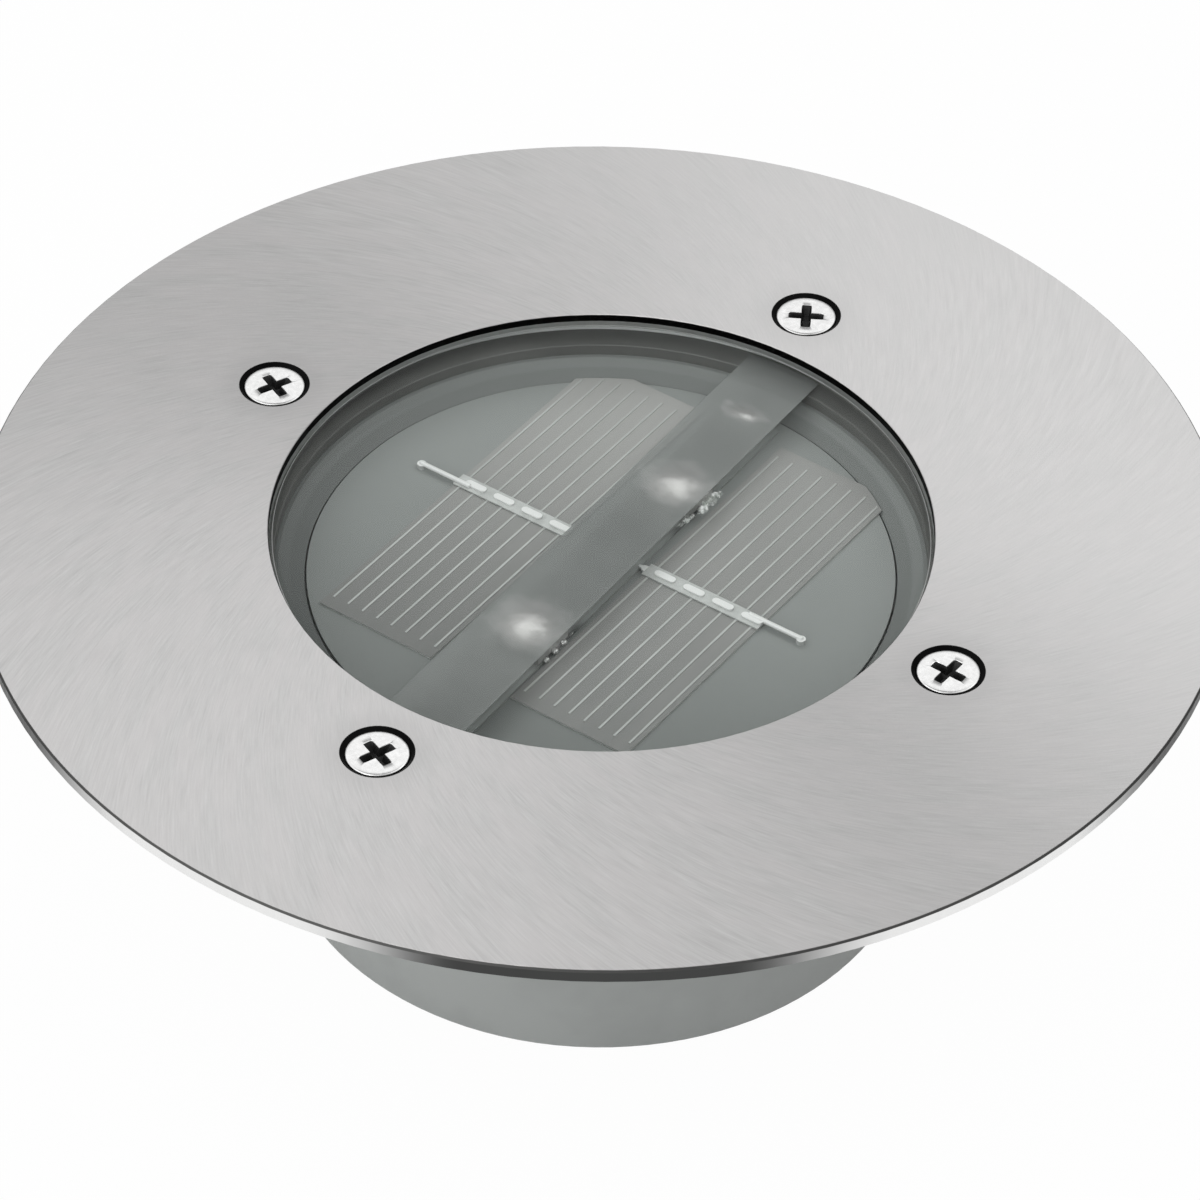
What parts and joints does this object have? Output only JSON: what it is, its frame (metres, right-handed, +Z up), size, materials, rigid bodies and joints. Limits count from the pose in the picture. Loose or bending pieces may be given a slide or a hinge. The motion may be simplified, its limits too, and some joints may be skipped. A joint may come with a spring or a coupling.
{
  "type": "in-ground well light",
  "caption": "Round solar light that sits in the ground: a screwed steel cover plate, a clear window over solar cells and lamps, and a small pot.",
  "frame": {"origin": "centre of the pot's flat base, on the axis of the pot and the cover plate", "axes": "+Z up, from the base to the cover plate; the silver lines of the solar cells run along Y, and the first cover screw stands 3.1 degrees from +X"},
  "size_m": [0.12, 0.12, 0.04],
  "materials": {
    "cover_steel": "spiral-brushed stainless steel",
    "cover_screws": "bright zinc-plated steel",
    "window": "clear polished plastic",
    "frosted_strip": "grey frosted plastic",
    "seal_rubber": "matt black rubber",
    "pot_plastic": "grey moulded plastic",
    "tray_plastic": "grey plastic with a slight sheen",
    "panel_plastic": "pale grey board under clear resin",
    "silicon": "grey silicon under clear resin",
    "silver_print": "printed silver lines",
    "tinned_ribbon": "tinned copper ribbon with solder runs",
    "lamp_board": "dark solder mask",
    "lamp_body": "white lamp with a pale yellow window",
    "sensor_dome": "clear resin dome",
    "unit_plastic": "black moulded plastic",
    "plated_screws": "zinc-plated steel",
    "circuit_green": "green solder mask",
    "chip_black": "black moulding compound",
    "ferrite": "dark ferrite",
    "capacitor_can": "sleeved aluminium can",
    "resistor_body": "tan lacquer",
    "battery_can": "plain green wrapper on a steel can",
    "spring_steel": "nickel-plated spring steel",
    "wire_red": "red insulation",
    "wire_black": "black insulation",
    "wire_white": "white insulation",
    "switch_metal": "pressed steel shell",
    "knob_plastic": "black plastic"
  },
  "bodies": {
    "housing": {"housing": "pot_plastic"},
    "light_unit": {"unit_seal": "seal_rubber", "panel_tray": "tray_plastic", "unit_case": "unit_plastic", "case_screws": "plated_screws", "panel_board": "panel_plastic", "solar_cell_left": "silicon", "solar_cell_right": "silicon", "cell_grid_left": "silver_print", "cell_grid_right": "silver_print", "cell_ribbon_left": "tinned_ribbon", "cell_ribbon_right": "tinned_ribbon", "led_board": "lamp_board", "led_front": "lamp_body", "led_back": "lamp_body", "light_sensor": "sensor_dome", "lens": "window", "diffuser_strip": "frosted_strip", "lens_seal": "seal_rubber", "circuit_board": "circuit_green", "driver_chip": "chip_black", "inductor": "ferrite", "capacitor": "capacitor_can", "resistors": "resistor_body", "board_screws": "plated_screws", "battery": "battery_can", "battery_spring": "spring_steel", "minus_contact": "spring_steel", "plus_contact": "spring_steel", "battery_wire_red": "wire_red", "battery_wire_black": "wire_black", "cell_wires": "wire_white", "led_wires": "wire_white", "switch_wires": "wire_black", "switch_body": "switch_metal"},
    "cover_plate": {"cover_plate": "cover_steel"},
    "battery_lid": {"battery_lid": "unit_plastic"},
    "switch_knob": {"switch_knob": "knob_plastic"},
    "cover_screw_1": {"cover_screw_1": "cover_screws"},
    "cover_screw_2": {"cover_screw_2": "cover_screws"},
    "cover_screw_3": {"cover_screw_3": "cover_screws"},
    "cover_screw_4": {"cover_screw_4": "cover_screws"}
  },
  "joints": [
    {"name": "light_unit_lift", "type": "slide", "parent": "housing", "child": "light_unit", "axis": [0, 0, 1], "range_m": [0, 0.03]},
    {"name": "cover_plate_lift", "type": "slide", "parent": "light_unit", "child": "cover_plate", "axis": [0, 0, 1], "range_m": [0, 0.012]},
    {"name": "cover_screw_1_out", "type": "slide", "parent": "cover_plate", "child": "cover_screw_1", "axis": [0, 0, 1], "range_m": [0, 0.01]},
    {"name": "cover_screw_2_out", "type": "slide", "parent": "cover_plate", "child": "cover_screw_2", "axis": [0, 0, 1], "range_m": [0, 0.01]},
    {"name": "cover_screw_3_out", "type": "slide", "parent": "cover_plate", "child": "cover_screw_3", "axis": [0, 0, 1], "range_m": [0, 0.01]},
    {"name": "cover_screw_4_out", "type": "slide", "parent": "cover_plate", "child": "cover_screw_4", "axis": [0, 0, 1], "range_m": [0, 0.01]},
    {"name": "battery_lid_hinge", "type": "hinge", "parent": "light_unit", "child": "battery_lid", "pos_m": [0, -0.0051, 0.0154], "axis": [-1, 0, 0], "range_deg": [0, 85]},
    {"name": "switch_slide", "type": "slide", "parent": "light_unit", "child": "switch_knob", "axis": [1, 0, 0], "range_m": [0, 0.0025]}
  ]
}
